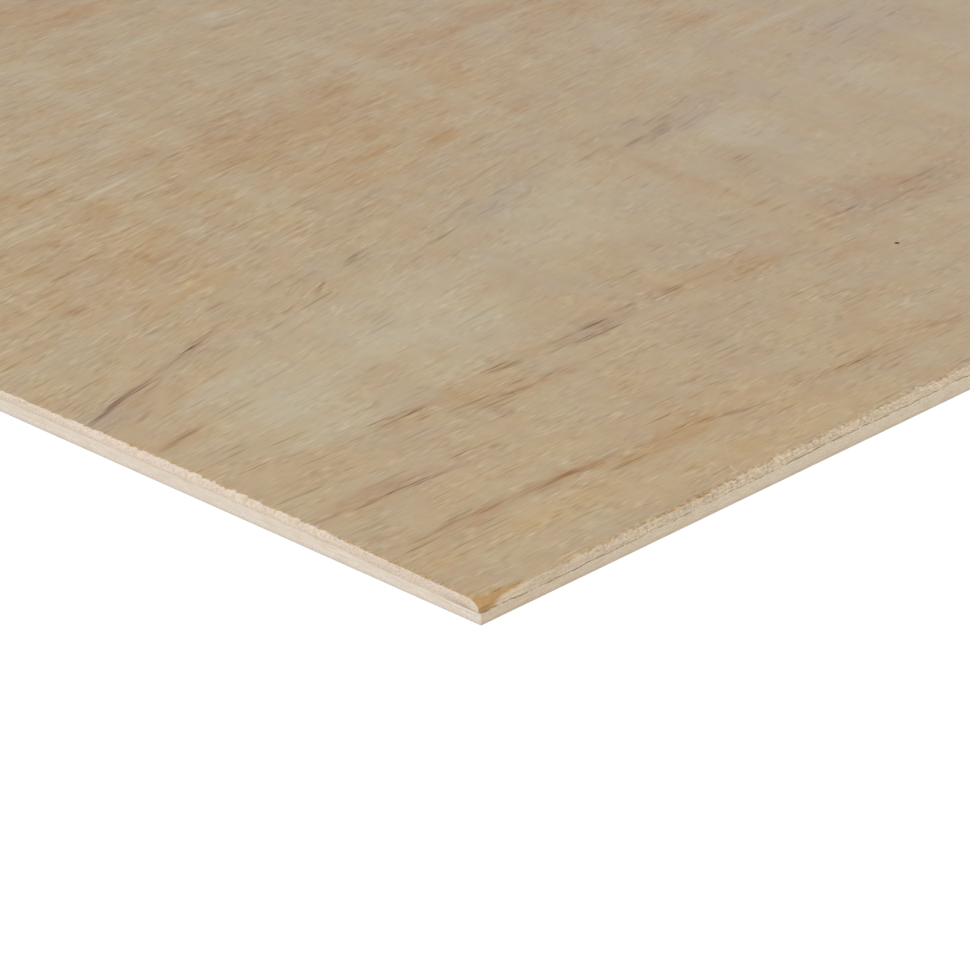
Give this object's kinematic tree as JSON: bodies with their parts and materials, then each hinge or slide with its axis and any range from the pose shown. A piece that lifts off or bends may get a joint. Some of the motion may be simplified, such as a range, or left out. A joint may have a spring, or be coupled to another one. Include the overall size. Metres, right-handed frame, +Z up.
{
  "type": "plywood sheet",
  "caption": "Thin hardwood plywood sheet of crossed veneers, lying flat, with worn arrises and one knocked corner.",
  "frame": {"origin": "middle of the back, where the sheet lies on a level floor", "axes": "+Z up through the face, +Y along the sheet's length and its face grain, +X across its width"},
  "size_m": [0.61, 1.22, 0.0055],
  "materials": {
    "face_veneer": "bare rotary-cut tropical hardwood, sanded, with streaks from cream to tan and orange",
    "core_veneer": "bare pale hardwood, sawn, grain across the sheet",
    "back_veneer": "bare rotary-cut hardwood, paler and plainer than the face"
  },
  "bodies": {
    "root": {"face_veneer": "face_veneer", "core_veneer": "core_veneer", "back_veneer": "back_veneer"}
  },
  "joints": []
}
